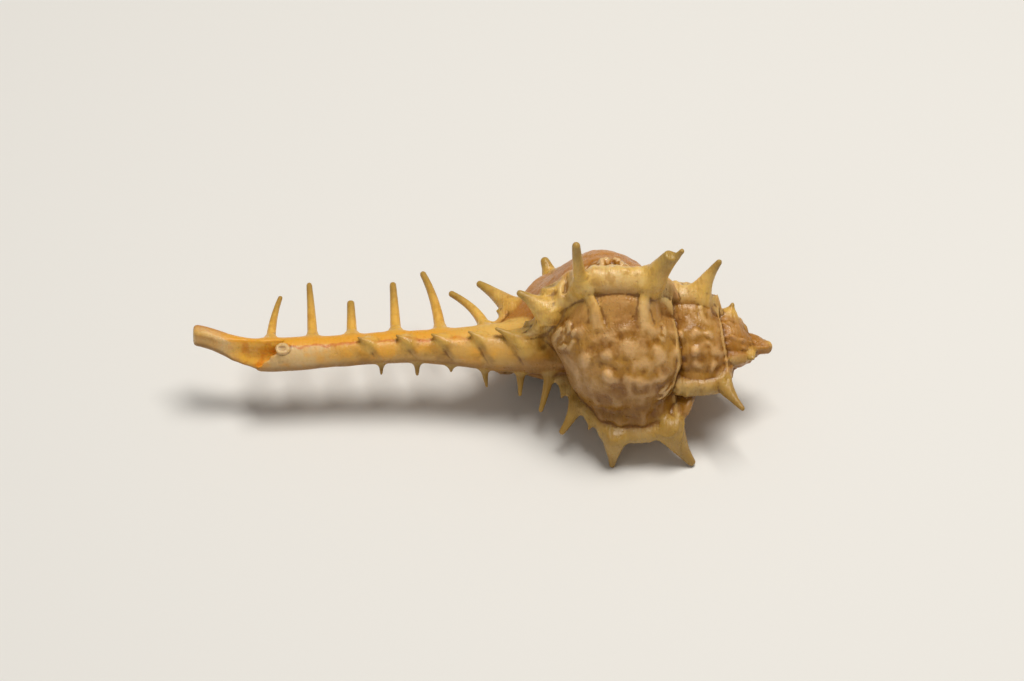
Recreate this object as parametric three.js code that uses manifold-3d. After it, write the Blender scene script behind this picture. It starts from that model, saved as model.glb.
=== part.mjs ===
// A long-canalled murex shell, lying on a table with its mouth down.
// Millimetres, +Z up. X is the axis that the shell coils round: the tip of the canal is at -X and the
// apex at +X. The shell grew as one piece, so it is one solid: coiled whorls, three rows of spines,
// the hollow behind the mouth and the open end of the canal.
import * as THREE from "three";
import { mergeVertices } from "three/addons/utils/BufferGeometryUtils.js";
import Module from "manifold-3d";

// Whole shell
const LENGTH = 120; // tip of the canal to apex
const AXIS_HEIGHT = 16.1; // coiling axis above the table
const AXIS_BACK = -7.26; // coiling axis behind the middle of the bounding box, negative is in front

// Coil. Growth is counted in degrees round the axis, zero near the last varix, negative on older shell.
const TURN_GROWTH = 1.66; // each turn is this many times the size of the one before it
const COIL_START = 64.4; // where the turns would shrink to a point, along X
const COIL_RUN = 43.6; // how far the middle of the last turn lies from there
const OLDEST_GROWTH = -1480;
const FRONT_GROWTH = -195; // the shell that faces -Y
const LIP_TURN = 223; // the outer lip's lowest stretch, degrees from -Y up over +Z and round
const LIP_GROWTH = LIP_TURN + FRONT_GROWTH;
const LIP_SWEEP = 30; // degrees that the lip's edge swings on towards the slit of the canal
const RADIUS_FACTOR = 1.055;
const RADIUS_LOSS = 1.03; // keeps the first turns slender

// Section of the last turn, before it is scaled down for the older turns
const CREST_RADIUS = 21.7; // axis to the widest line of the turn
const SUTURE_RADIUS = 11.15; // axis to where the turn meets the one before it
const APICAL_HALF = 14; // widest line to the suture
const CANAL_HALF = 19; // widest line to the neck
const NECK_CORE = 3;
const NECK_FULLNESS = 0.7; // lower is fuller

// Varices: the thick ridges of former lips, which carry the spines
const VARIX_STEP = 113; // degrees of growth from one to the next
const VARIX_FIRST = 4;
const VARIX_RISE = 13; // degrees over which the ridge rises on its older side
const VARIX_FALL = 5;
const VARIX_RADIUS = 28.4;
const VARIX_APICAL_HALF = 19.3;
const VARIX_NECK_REACH = 21; // the ridge runs this far down the neck from the widest line
const VARIX_NECK_SLOPE = 1.3;
const FOLD_PLACES = [-6.2, 8.6]; // folds that prop up the two large spines of a varix
const FOLD_HEIGHT = 3.4;
const FOLD_WIDTH = 1.7;
const FOLD_RUN = 34; // degrees that a fold runs back from its varix

// Low ribs between the varices, broken into lumps by spiral cords
const RIB_STEP = 18.8;
const RIB_FIRST = -137;
const RIB_HEIGHT = 0.75;
const CORD_STEP = 3.7;

// Siphonal canal and neck
const CANAL_RADIUS = 2.9;
const CANAL_END_RADIUS = 3.4;
const CANAL_RIDGE = 0.5; // height of the three varices where they run on along the canal
const NECK_RADIUS = 5.5;
const CANAL_BLEND = 3; // rounding where body and canal meet
const NECK_TWIST = 24; // degrees that the rows of spines turn back between body and canal
const CANAL_SLIT_TURN = 260; // the slit along the underside
const BREAK_X = -46; // beyond this, half of the canal wall is broken away
const BREAK_TURN = 20; // middle of the gap, degrees from -Y up over +Z
const BREAK_HALF = 65; // half of the gap, degrees
const BREAK_DEPTH = 0.62; // share of the wall's height that is gone
const CANAL_DROP = 1.7; // sag of the canal's middle line just behind the break
const CANAL_LIFT = 2.2; // rise of that line at the tip
const TIP_RADIUS = 1.35;
const TAPER_FROM = 44; // the canal narrows to its tip between these distances from the middle
const TAPER_TO = 58;
const SLIT_HALF_WIDTH = 0.75;

// Mouth
const MOUTH_RADIUS = 13.1; // axis to the middle of the hollow, at the lip
const MOUTH_HALF_LENGTH = 10.4;
const MOUTH_HALF_WIDTH = 6.8;
const MOUTH_RUN = 24; // degrees that the hollow reaches in front of the lip
const HOLLOW_SWEEP = 190; // degrees from there to the hollow's inner end
const LIP_FLARE = 0.9;
const INNER_LIP_HEIGHT = 2.6;
const INNER_LIP_THICKNESS = 0.85;

const FULL_TURN = 360;
const radians = THREE.MathUtils.degToRad;
const { smoothstep, clamp, lerp } = THREE.MathUtils;

// The direction at right angles to the axis, at a turn from -Y, up over +Z and round.
function outward(turn) {
  return new THREE.Vector3(0, -Math.cos(radians(turn)), Math.sin(radians(turn)));
}

// The larger of two radii, rounded where they meet.
function blendLarger(a, b, round) {
  const near = Math.max(round - Math.abs(a - b), 0) / round;
  return Math.max(a, b) + (near * near * round) / 4;
}

// How much of a varix stands at a growth angle, from 0 to 1.
function varixShare(growth) {
  const nearest = Math.max(0, Math.ceil((VARIX_FIRST - growth - VARIX_FALL) / VARIX_STEP));
  const past = growth - (VARIX_FIRST - VARIX_STEP * nearest);
  const part = past > 0 ? past / VARIX_FALL : past / VARIX_RISE;
  return Math.sqrt(Math.max(0, 1 - part * part));
}

// Height of the folds behind a varix, from 0 to 1.
function foldShare(growth, along) {
  const nearest = Math.max(0, Math.ceil((VARIX_FIRST - growth - FOLD_RUN) / VARIX_STEP));
  const past = growth - (VARIX_FIRST - VARIX_STEP * nearest);
  if (past > 0 || past < -FOLD_RUN) return 0;
  const near = FOLD_PLACES.map((place) => Math.exp(-(((along - place) / FOLD_WIDTH) ** 2)));
  return Math.max(...near) * (1 + past / FOLD_RUN) ** 1.5;
}

function coilMiddle(scale) {
  return COIL_START - COIL_RUN * scale;
}

// Distance of the shell's surface from the axis, for one turn of the coil.
function turnRadius(growth, x) {
  const scale = TURN_GROWTH ** (Math.min(growth, LIP_GROWTH) / FULL_TURN);
  const along = (x - coilMiddle(scale)) / scale;
  const share = varixShare(growth);
  let plain = 0;
  let raised = 0;
  if (along < 0) {
    const fall = Math.cos((Math.PI / 2) * Math.min(1, -along / CANAL_HALF)) ** NECK_FULLNESS;
    plain = NECK_CORE + (CREST_RADIUS - NECK_CORE) * fall;
    const onNeck = NECK_CORE + VARIX_NECK_SLOPE * (VARIX_NECK_REACH + along * scale);
    raised = clamp((onNeck + RADIUS_LOSS) / (RADIUS_FACTOR * scale), 0, VARIX_RADIUS);
  } else {
    if (along < APICAL_HALF) {
      const round = Math.sqrt(1 - (along / APICAL_HALF) ** 2);
      plain = SUTURE_RADIUS + (CREST_RADIUS - SUTURE_RADIUS) * round;
    }
    if (along < VARIX_APICAL_HALF) {
      const round = Math.sqrt(1 - (along / VARIX_APICAL_HALF) ** 2);
      raised = SUTURE_RADIUS + (VARIX_RADIUS - SUTURE_RADIUS) * round;
    }
  }
  const rib = 0.5 + 0.5 * Math.cos((2 * Math.PI * (growth - RIB_FIRST)) / RIB_STEP);
  const cord = 0.6 + 0.4 * Math.cos((2 * Math.PI * along) / CORD_STEP);
  const onWhorl = smoothstep(along, -CANAL_HALF * 0.8, -CANAL_HALF * 0.4) * (1 - share);
  const lumps = RIB_HEIGHT * rib * cord * onWhorl;
  const folds = FOLD_HEIGHT * foldShare(growth, along) * (1 - share);
  const flare = LIP_FLARE * smoothstep(growth - lipGrowth(x), -9, 0);
  const section = plain + share * Math.max(0, raised - plain) + lumps + folds + flare;
  return RADIUS_FACTOR * scale * section - RADIUS_LOSS;
}

function canalRadius(x) {
  const behindBreak = smoothstep(-x, 30, 40) * (CANAL_END_RADIUS - CANAL_RADIUS);
  const neck = smoothstep(x, -17, 12) * (NECK_RADIUS - CANAL_RADIUS);
  const toTip = smoothstep(-x, TAPER_FROM, TAPER_TO);
  const inBody = 1 - smoothstep(x, 20, 40);
  return lerp(CANAL_RADIUS + behindBreak + neck, TIP_RADIUS, toTip) * inBody;
}

// The canal bows a little in the plane that faces up and to the front.
function canalRise(x) {
  const sag = -CANAL_DROP * smoothstep(-x, 12, -BREAK_X);
  const lift = (CANAL_LIFT + CANAL_DROP) * smoothstep(-x, -BREAK_X, LENGTH / 2);
  return sag + lift;
}

function twist(x) {
  return NECK_TWIST * (1 - smoothstep(x, 3.5, 24));
}

// The lip's edge runs along the table, then round to the canal's slit.
function lipGrowth(x) {
  return LIP_GROWTH + twist(x) + LIP_SWEEP * (1 - smoothstep(x, 2, 18)) ** 1.6;
}

function angleApart(a, b) {
  return Math.abs(THREE.MathUtils.euclideanModulo(a - b + 180, FULL_TURN) - 180);
}

// Surface point for a newest-turn growth angle and a place along the axis.
function surfaceRadius(growth, x) {
  let whorl = 0;
  for (let g = growth; g > OLDEST_GROWTH; g -= FULL_TURN) whorl = Math.max(whorl, turnRadius(g, x));
  const turn = growth - FRONT_GROWTH - twist(x);
  const inGap = 1 - smoothstep(angleApart(turn, BREAK_TURN), BREAK_HALF - 10, BREAK_HALF + 10);
  const gap = inGap * smoothstep(-x, -BREAK_X, -BREAK_X + 1.5);
  const canal = (canalRadius(x) + CANAL_RIDGE * varixShare(growth)) * (1 - BREAK_DEPTH * gap);
  return blendLarger(whorl, canal, CANAL_BLEND);
}

function surfacePoint(growth, x, above = 0, swing = 0) {
  const turn = growth - FRONT_GROWTH - twist(x);
  const rise = outward(135).multiplyScalar(canalRise(x));
  const out = outward(turn + swing).multiplyScalar(surfaceRadius(growth, x) + above);
  return new THREE.Vector3(x, 0, 0).add(rise).add(out);
}

// A closed skin over a row of rings. Each ring is a list of angles and points; neighbours may differ in
// number, and a ring of one point closes an end.
function skin(rings) {
  const points = rings.flatMap((ring) => ring.points);
  const faces = [];
  let first = 0;
  for (let n = 0; n + 1 < rings.length; n += 1) {
    const near = rings[n];
    const far = rings[n + 1];
    const next = first + near.points.length;
    const angle = (ring, k) => (k < ring.angles.length ? ring.angles[k] : ring.angles[0] + FULL_TURN);
    let i = 0;
    let j = 0;
    while (i < near.points.length || j < far.points.length) {
      const a = first + (i % near.points.length);
      const b = next + (j % far.points.length);
      const nearNext = i < near.points.length ? angle(near, i + 1) : Infinity;
      const farNext = j < far.points.length ? angle(far, j + 1) : Infinity;
      if (nearNext <= farNext) {
        i += 1;
        if (near.points.length > 1) faces.push(a, first + (i % near.points.length), b);
      } else {
        j += 1;
        if (far.points.length > 1) faces.push(a, next + (j % far.points.length), b);
      }
    }
    first = next;
  }
  const geometry = new THREE.BufferGeometry().setFromPoints(points);
  geometry.setIndex(faces);
  return geometry;
}

function singlePoint(point) {
  return { angles: [0], points: [point] };
}

// A ring round a middle, from two half-width vectors.
function oval(middle, across, up, sides) {
  const angles = Array.from({ length: sides }, (_, k) => (k * FULL_TURN) / sides);
  const points = angles.map((angle) =>
    middle
      .clone()
      .addScaledVector(across, Math.cos(radians(angle)))
      .addScaledVector(up, Math.sin(radians(angle))),
  );
  return { angles, points };
}

// Angles of the points round the body, close together on each varix.
function growthAngles(step) {
  const varices = [0, 1, 2].map((k) => VARIX_FIRST - k * VARIX_STEP);
  const onVarix = varices.flatMap((crest) =>
    [-VARIX_RISE, -11.5, -7, 0, 3.4, VARIX_FALL].map((offset) => crest + offset),
  );
  const fixed = [LIP_GROWTH - FULL_TURN + 1.2, ...onVarix, LIP_GROWTH].sort((a, b) => a - b);
  const angles = [];
  fixed.forEach((from, n) => {
    const to = n + 1 < fixed.length ? fixed[n + 1] : from;
    const count = Math.max(1, Math.round((to - from) / step));
    for (let k = 0; k < count; k += 1) angles.push(from + ((to - from) * k) / count);
  });
  return angles;
}

function range(from, to, step) {
  const count = Math.round((to - from) / step);
  return Array.from({ length: count }, (_, k) => from + ((to - from) * k) / count);
}

// Beside the lip the angles spread or close up, so that they follow its edge.
function besideLip(growth, x) {
  const shift = lipGrowth(x) - LIP_GROWTH;
  const newest = VARIX_FIRST + VARIX_FALL;
  const oldest = VARIX_FIRST - 2 * VARIX_STEP - VARIX_RISE;
  if (growth > newest) return growth + (shift * (growth - newest)) / (LIP_GROWTH - newest);
  if (growth < oldest) return growth + (shift * (oldest - growth)) / (oldest - LIP_GROWTH + FULL_TURN);
  return growth;
}

// The coiled body with its canal, as rings along the axis.
function bodyShape() {
  const fine = growthAngles(RIB_STEP / 3);
  const medium = fine.filter((_, k) => k % 2 === 0);
  const coarse = fine.filter((_, k) => k % 5 === 0);
  const stations = [
    ...range(-LENGTH / 2, BREAK_X - 1, 2.1).map((x) => [x, medium.filter((_, k) => k % 2 === 0)]),
    ...range(BREAK_X - 1, BREAK_X + 2, 1).map((x) => [x, medium.filter((_, k) => k % 2 === 0)]),
    ...range(BREAK_X + 2, -3, 3.2).map((x) => [x, medium.filter((_, k) => k % 2 === 0)]),
    ...range(-3, 6, 2.2).map((x) => [x, medium]),
    ...range(6, 46, 1.6).map((x) => [x, fine]),
    ...range(46, 56, 1.45).map((x) => [x, medium]),
    ...range(56, 59, 1).map((x) => [x, coarse]),
  ];
  const rings = stations.map(([x, angles]) => ({
    angles,
    points: angles.map((growth) => surfacePoint(besideLip(growth, x), x)),
  }));
  const tip = outward(135).multiplyScalar(canalRise(-LENGTH / 2) + 0.2).setX(-LENGTH / 2);
  return skin([singlePoint(tip), ...rings, singlePoint(new THREE.Vector3(58.6, 0, 0))]);
}

// The rounded first chamber at the apex.
function apexShape() {
  const knob = new THREE.SphereGeometry(1.25, 8, 6);
  knob.deleteAttribute("normal");
  knob.deleteAttribute("uv");
  knob.translate(LENGTH / 2 - 1.25, 0, 0);
  return knob;
}

// A spine that grows from the surface: flared root, tapering and leaning to a blunt or broken end.
// reach is its height off the surface, lean its slant along X, swing its slant round the axis.
function spineShape({ x, growth, reach, lean = 0, swing = 0, root, tip, bow = 0 }) {
  const sides = root > 1 ? 7 : 6;
  const start = surfacePoint(growth, x, -0.9);
  const end = surfacePoint(growth, x, reach, swing);
  end.x += lean;
  const bend = start.clone().lerp(end, 0.55);
  bend.addScaledVector(new THREE.Vector3(1, 0, 0), bow - lean * 0.12);
  const line = new THREE.QuadraticBezierCurve3(start, bend, end);
  const widths = [
    [0, root * 1.7],
    [Math.min(0.3, 1.7 / (reach + 0.9)), root],
    [0.62, lerp(root, tip, 0.6)],
    [1, tip],
  ];
  const rings = widths.map(([t, width]) => {
    const along = line.getTangent(t);
    const across = new THREE.Vector3(1, 0, 0).addScaledVector(along, -along.x).normalize();
    const up = along.clone().cross(across);
    return oval(line.getPoint(t), across.multiplyScalar(width), up.multiplyScalar(width), sides);
  });
  return skin([singlePoint(start), ...rings, singlePoint(end.addScaledVector(line.getTangent(1), tip / 3))]);
}

const LAST_VARIX = VARIX_FIRST;
const MIDDLE_VARIX = VARIX_FIRST - VARIX_STEP;
const LOW_VARIX = VARIX_FIRST - 2 * VARIX_STEP;

// Spines of the last varix, from the open end of the canal to the body.
const lastRow = [
  { x: -44, reach: 12.2, lean: 1.8, root: 0.95, tip: 0.42, bow: -0.7 },
  { x: -35.2, reach: 15.4, lean: -1.2, root: 0.95, tip: 0.5 },
  { x: -27.1, reach: 9.8, lean: -0.5, root: 0.95, tip: 0.75 },
  { x: -18, reach: 14.2, lean: -0.9, root: 1.05, tip: 0.62 },
  { x: -8.7, reach: 16.6, lean: -4.1, root: 1.15, tip: 0.6, bow: 1 },
  { x: 0.6, reach: 9.6, lean: -7.6, root: 1.15, tip: 0.6, bow: 2.2 },
  { x: 6.2, reach: 6.4, lean: -7.4, root: 1.9, tip: 0.75 },
  { x: 14.6, reach: 3.2, lean: -2, swing: -9, root: 1.8, tip: 0.95 },
  { x: 29, reach: 9, lean: 2.5, swing: -4, root: 2, tip: 0.7 },
].map((spine) => ({ growth: LAST_VARIX, ...spine }));

// Middle row: short broken scales on the canal, crowded stumps on the neck, two large spines on the body.
const middleRow = [
  { x: -30.5, reach: 0.9, lean: -1.2, root: 1.1, tip: 0.4 },
  { x: -23.3, reach: 1.6, lean: -2, root: 1.2, tip: 0.35 },
  { x: -15.3, reach: 1.9, lean: -2.3, root: 1.25, tip: 0.35 },
  { x: -7.6, reach: 2.1, lean: -2.7, root: 1.35, tip: 0.35 },
  { x: 0.6, reach: 2.6, lean: -3.2, root: 1.45, tip: 0.35 },
  { x: 6.8, reach: 5.2, lean: -5, root: 1.7, tip: 0.4 },
  { x: 9.6, reach: 1.8, lean: -1.6, root: 1.7, tip: 1 },
  { x: 14, reach: 7, lean: -7, swing: -6, root: 2.1, tip: 0.8 },
  { x: 13.6, reach: 5, lean: -0.6, swing: 5, root: 1.9, tip: 1.45 },
  { x: 17.2, reach: 4, lean: -0.8, root: 1.7, tip: 1.1 },
  { x: 22.4, reach: 9.5, lean: -3.6, root: 1.9, tip: 0.85, bow: 1 },
  { x: 35, reach: 10.2, lean: 5.6, root: 2.4, tip: 0.85 },
].map((spine) => ({ growth: MIDDLE_VARIX, ...spine }));

// Low row: it points at the table, and the ends of its two body spines stand on it.
const lowRow = [
  { x: -21, reach: 2.3, root: 0.6, tip: 0.3 },
  { x: -13.6, reach: 2.6, root: 0.7, tip: 0.38 },
  { x: -6.6, reach: 1.4, root: 0.8, tip: 0.3 },
  { x: 0.2, reach: 3.7, lean: 0.6, root: 0.75, tip: 0.32 },
  { x: 7.8, reach: 4.8, lean: -0.2, root: 0.85, tip: 0.4 },
  { x: 13.8, reach: 7, lean: -2, swing: -4, root: 0.95, tip: 0.5 },
  { x: 16.8, reach: 1, lean: -0.6, root: 0.5, tip: 0.2 },
  { x: 19.4, reach: 5, lean: -3.4, swing: -5, root: 1.25, tip: 0.65 },
  { x: 22.6, reach: 1.6, lean: -0.9, root: 0.9, tip: 0.25 },
  { x: 27, reach: 4.1, lean: -0.4, swing: -13.5, root: 1.8, tip: 0.65 },
  { x: 38.4, reach: 5.6, lean: 5, swing: -13.5, root: 2.3, tip: 0.85 },
].map((spine) => ({ growth: LOW_VARIX, ...spine }));

// One spine on each older varix, smaller towards the apex. older counts varices back from the last one,
// along is the spine's place from the middle of its turn.
const spireRow = [
  { older: 3, along: 5, reach: 4.6, lean: 3.6, root: 1.7, tip: 0.65 },
  { older: 4, along: 3.5, reach: 6, lean: 4, root: 1.6, tip: 0.62 },
  { older: 5, along: 4.8, reach: 6, lean: 4, root: 1.4, tip: 0.5 },
  { older: 6, along: 1.6, reach: 2.4, lean: 1.6, root: 1.1, tip: 0.45 },
  { older: 7, along: 1, reach: 1.5, lean: 0.6, root: 0.9, tip: 0.4 },
  { older: 8, along: 3, reach: 1, lean: 0.6, root: 0.7, tip: 0.3 },
].map(({ older, along, ...spine }) => {
  const growth = VARIX_FIRST - VARIX_STEP * older;
  const scale = TURN_GROWTH ** (growth / FULL_TURN);
  const newest = growth + FULL_TURN * Math.ceil((LIP_GROWTH - FULL_TURN - growth) / FULL_TURN);
  return { growth: newest, x: coilMiddle(scale) + along, ...spine };
});

// The hollow that winds back from the mouth, narrowing to a rounded end.
function hollowShape() {
  const rings = [];
  const steps = 11;
  for (let k = 0; k <= steps; k += 1) {
    const back = (HOLLOW_SWEEP * k) / steps;
    const growth = LIP_GROWTH + MOUTH_RUN - back;
    const scale = TURN_GROWTH ** (Math.min(growth, LIP_GROWTH) / FULL_TURN);
    const width = Math.sqrt(1 - (k / (steps + 0.3)) ** 4);
    const out = outward(growth - FRONT_GROWTH);
    const middle = out.clone().multiplyScalar(MOUTH_RADIUS * scale).setX(coilMiddle(scale));
    const across = new THREE.Vector3(MOUTH_HALF_LENGTH * scale * width, 0, 0);
    rings.push(oval(middle, across, out.multiplyScalar(MOUTH_HALF_WIDTH * scale * width), 14));
  }
  const middleOf = (ring) =>
    ring.points.reduce((sum, p) => sum.add(p), new THREE.Vector3()).divideScalar(ring.points.length);
  return skin([singlePoint(middleOf(rings[0])), ...rings, singlePoint(middleOf(rings[steps]))]);
}

// The slit along the underside of the canal, from the mouth to the tip.
function slitShape() {
  const rings = [13, 2, -12, -30, BREAK_X, -54, -LENGTH / 2 - 1].map((x) => {
    const out = outward(CANAL_SLIT_TURN);
    const depth = canalRadius(x) * 0.9 + 0.5 * smoothstep(x, 2, 13);
    const middle = out.clone().multiplyScalar(canalRadius(x) * 1.1);
    middle.addScaledVector(outward(135), canalRise(x)).setX(x);
    return oval(middle, outward(CANAL_SLIT_TURN + 90).multiplyScalar(SLIT_HALF_WIDTH), out.multiplyScalar(depth), 4);
  });
  const ends = [rings[0], rings.at(-1)].map((ring) => singlePoint(ring.points[1].clone().lerp(ring.points[3], 0.5)));
  return skin([ends[0], ...rings, ends[1]]);
}

// The inner lip: a thin raised edge from the mouth's upper corner down the pillar to the canal's slit.
function innerLipShape() {
  const route = [
    [31, 10.6, 262],
    [26, 9.4, 270],
    [20, 8.4, 277],
    [13, 7.4, 279],
    [6, 5.6, 273],
    [-2, 3.6, 266],
    [-9, 2.4, 262],
  ];
  const line = new THREE.CatmullRomCurve3(
    route.map(([x, radius, turn]) => outward(turn).multiplyScalar(radius).setX(x)),
  );
  const steps = 9;
  const rings = Array.from({ length: steps + 1 }, (_, k) => {
    const t = k / steps;
    const middle = line.getPoint(t);
    const along = line.getTangent(t);
    const up = new THREE.Vector3(0, middle.y, middle.z).normalize();
    const across = along.cross(up).normalize().multiplyScalar(INNER_LIP_THICKNESS);
    const height = INNER_LIP_HEIGHT * Math.sin(Math.PI * lerp(0.12, 0.9, t)) ** 0.5;
    return oval(middle, across, up.multiplyScalar(height), 8);
  });
  return skin([singlePoint(line.getPoint(0)), ...rings, singlePoint(line.getPoint(1))]);
}

// A slab whose top is the table, which the lowest ends are worn flat against.
function tableShape() {
  const slab = new THREE.BoxGeometry(2 * LENGTH, LENGTH, 20);
  slab.deleteAttribute("normal");
  slab.deleteAttribute("uv");
  slab.translate(0, 0, -10 - AXIS_HEIGHT);
  return slab;
}

const wasm = await Module();
wasm.setup();

// Merges the corners of a closed geometry and turns its faces outwards.
function solid(geometry) {
  const merged = mergeVertices(geometry, 1e-5);
  const triVerts = new Uint32Array(merged.index.array);
  const build = () =>
    new wasm.Manifold(
      new wasm.Mesh({ numProp: 3, vertProperties: merged.attributes.position.array, triVerts }),
    );
  const made = build();
  if (made.volume() > 0) return made;
  for (let k = 0; k < triVerts.length; k += 3) {
    [triVerts[k + 1], triVerts[k + 2]] = [triVerts[k + 2], triVerts[k + 1]];
  }
  return build();
}

const spines = [...lastRow, ...middleRow, ...lowRow, ...spireRow].map(spineShape).map(solid);
const grown = wasm.Manifold.union([solid(bodyShape()), solid(apexShape()), ...spines]);
const hollow = solid(hollowShape());
const opened = grown.subtract(hollow).add(solid(innerLipShape()).subtract(hollow));
const worn = opened.subtract(solid(slitShape())).subtract(solid(tableShape()));

const { vertProperties, triVerts } = worn.getMesh();
const shellGeometry = new THREE.BufferGeometry();
shellGeometry.setAttribute("position", new THREE.BufferAttribute(vertProperties, 3));
shellGeometry.setIndex(new THREE.BufferAttribute(triVerts, 1));

const shellMaterial = new THREE.MeshStandardMaterial({ color: 0xb99563, roughness: 0.55, metalness: 0 });
const shell = new THREE.Mesh(shellGeometry, shellMaterial);
shell.name = "shell";
shell.position.set(0, AXIS_BACK, AXIS_HEIGHT);

const root = new THREE.Group();
root.add(shell);

export default root;
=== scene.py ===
# A long-canalled murex shell lying mouth down on a pale table.
# The shell is built up here the way it grew: whorls first, then the ridges of its former lips, the
# canal, the spines, the mouth, and last what wear and sea life did to it. Lengths are millimetres
# until the skin is made, X runs from the canal's tip to the apex, and Z is up.
import math

import bpy
import numpy as np
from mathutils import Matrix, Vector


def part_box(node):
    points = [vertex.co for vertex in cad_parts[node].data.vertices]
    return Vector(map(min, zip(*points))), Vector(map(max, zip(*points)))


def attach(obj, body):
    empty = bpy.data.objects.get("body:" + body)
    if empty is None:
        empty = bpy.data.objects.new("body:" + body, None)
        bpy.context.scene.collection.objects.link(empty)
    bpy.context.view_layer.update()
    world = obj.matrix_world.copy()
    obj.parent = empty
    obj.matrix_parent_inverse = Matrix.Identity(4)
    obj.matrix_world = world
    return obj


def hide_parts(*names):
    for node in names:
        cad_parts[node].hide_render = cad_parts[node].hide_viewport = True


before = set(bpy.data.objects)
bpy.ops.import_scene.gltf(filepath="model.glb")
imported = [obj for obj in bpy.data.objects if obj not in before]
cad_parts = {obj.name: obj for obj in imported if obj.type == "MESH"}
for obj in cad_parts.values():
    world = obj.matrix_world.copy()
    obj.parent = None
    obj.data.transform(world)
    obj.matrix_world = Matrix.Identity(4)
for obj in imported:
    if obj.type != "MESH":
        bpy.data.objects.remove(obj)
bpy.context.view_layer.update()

import openvdb
from mathutils import Vector

# Coiled whorls
# Each turn of the snail's coil is 1.66 times the last one. Its section is a belly that narrows to the
# neck on one side and to the seam with the turn before on the other. Growth is counted in degrees
# round the axis, zero near the last ridge and negative on older shell.
LENGTH = 120
AXIS_HEIGHT = 16.1
AXIS_BACK = -7.26
FULL_TURN = 360
TURN_GROWTH = 1.66
COIL_START = 64.4
COIL_RUN = 43.6
OLDEST_GROWTH = -1480
FRONT_GROWTH = -195
SHOWN_SIDE = 45
LIP_GROWTH = 28
LIP_SWEEP = 30
NECK_TWIST = 24
RADIUS_FACTOR = 1.055
RADIUS_LOSS = 1.03
CREST_RADIUS = 21.7
SUTURE_RADIUS = 12.5
APICAL_HALF = 14
CANAL_HALF = 19
NECK_CORE = 3
NECK_FULLNESS = 0.7
SEAM_FULLNESS = 0.82
BELLY_FULLNESS = 0.27
BELLY_HALF = 17.6
BELLY_CORNER = 1.6
SEAM_DIP = 3
BELLY_FROM = -226
BELLY_TO = -112


def eased(value, low, high):
    part = np.clip((value - low) / (high - low), 0, 1)
    return part * part * (3 - 2 * part)


def hill(value, middle, width):
    return np.exp(-(((value - middle) / width) ** 2))


def unevenness(u, v, size, layer, w=0):
    """Soft random hills about size across, from -1 to 1, the same every time."""
    a, b, c = (np.floor(way / size) for way in (u, v, w))
    s, t, r = (eased(way / size - low, 0, 1) for way, low in ((u, a), (v, b), (w, c)))

    def corner(i, j, k):
        # The large odd numbers only scramble the place, so that the heights fall at random.
        mixed = np.sin((a + i) * 127.1 + (b + j) * 311.7 + (c + k) * 183.3 + layer * 74.7) * 43758.5453
        return (mixed - np.floor(mixed)) * 2 - 1

    def level(k):
        near = corner(0, 0, k) * (1 - s) + corner(1, 0, k) * s
        far = corner(0, 1, k) * (1 - s) + corner(1, 1, k) * s
        return near * (1 - t) + far * t

    return level(0) if np.isscalar(w) else level(0) * (1 - r) + level(1) * r


def neck_twist(x):
    return NECK_TWIST * (1 - eased(x, 3.5, 24))


def lip_growth(x):
    return LIP_GROWTH + neck_twist(x) + LIP_SWEEP * (1 - eased(x, 2, 18)) ** 1.6


def turn_scale(growth):
    return TURN_GROWTH ** (np.minimum(growth, LIP_GROWTH) / FULL_TURN)


def coil_middle(scale):
    return COIL_START - COIL_RUN * scale


def seam_half(growth):
    """How far the seam lies from a turn's middle. It is nearer low on the front of the last turn."""
    return APICAL_HALF - SEAM_DIP * eased(-growth, 160, 203) * (1 - eased(-growth, 226, 262))


def plain_section(along, growth):
    """The section of a turn without ridges or lumps, before it is scaled. The front belly is fuller."""
    belly = eased(growth, BELLY_FROM - 12, BELLY_FROM + 10) * (1 - eased(growth, BELLY_TO - 16, BELLY_TO))
    slimmer = 0.4 * hill(growth, -45, 45)
    fullness = NECK_FULLNESS + (BELLY_FULLNESS - NECK_FULLNESS) * belly + slimmer
    belly_half = BELLY_HALF + BELLY_CORNER * hill(growth, -208, 24)
    half = CANAL_HALF + (belly_half - CANAL_HALF) * belly
    to_neck = np.cos(math.pi / 2 * np.clip(-along / half, 0, 1)) ** fullness
    to_seam = np.clip(1 - (along / seam_half(growth)) ** 2, 0, 1) ** SEAM_FULLNESS
    on_neck = NECK_CORE + (CREST_RADIUS - NECK_CORE) * to_neck
    at_seam = SUTURE_RADIUS + 2 * eased(-growth, 240, 330)
    on_shoulder = at_seam + (CREST_RADIUS - at_seam) * to_seam
    return np.where(along < 0, on_neck, np.where(along < seam_half(growth), on_shoulder, 0))


# Ridges of former lips
# About three times a turn the snail stopped and thickened its lip. Each old lip stays as a rounded
# ridge, steep and frilled on its younger side, and propped by two folds on its older side.
VARIX_STEP = 113
VARIX_FIRST = 4
VARIX_RISE = 8.8
VARIX_FALL = 6.5
OLD_VARIX_WIDENING = 6
VARIX_FOOT = 2.2
FOOT_RUN = 6
UNDER_FOOT = 2.2
UNDER_FOOT_RUN = 9
RIDGE_FADES = (-9, 1)
NECK_FRILL = 24
NECK_BEND = 8
SEAM_BEND = 9
VARIX_RADIUS = 28
VARIX_APICAL_HALF = 16.4
VARIX_SHOULDER = 0.5
VARIX_NECK_REACH = 21
VARIX_NECK_SLOPE = 1.3
FOLD_PLACES = (-6, 5.9)
FOLD_LEANS = (-1.4, 1.2)
FOLD_HEIGHT = 5.2
FOLD_WIDTHS = (1.6, 1.8)
FOLD_RUNS = (32, 37)
CURTAIN_FIRST = 14.4
CURTAIN_STEP = 2.7
CURTAIN_DEPTH = 1.7
TOOTH_SIZE = 0.95
TOOTH_HEIGHT = 0.6
KNUCKLE_FIRST = 8
KNUCKLE_STEP = 3.9
KNUCKLE_DEPTH = 0.9
FRILL_STEP = 2
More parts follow.
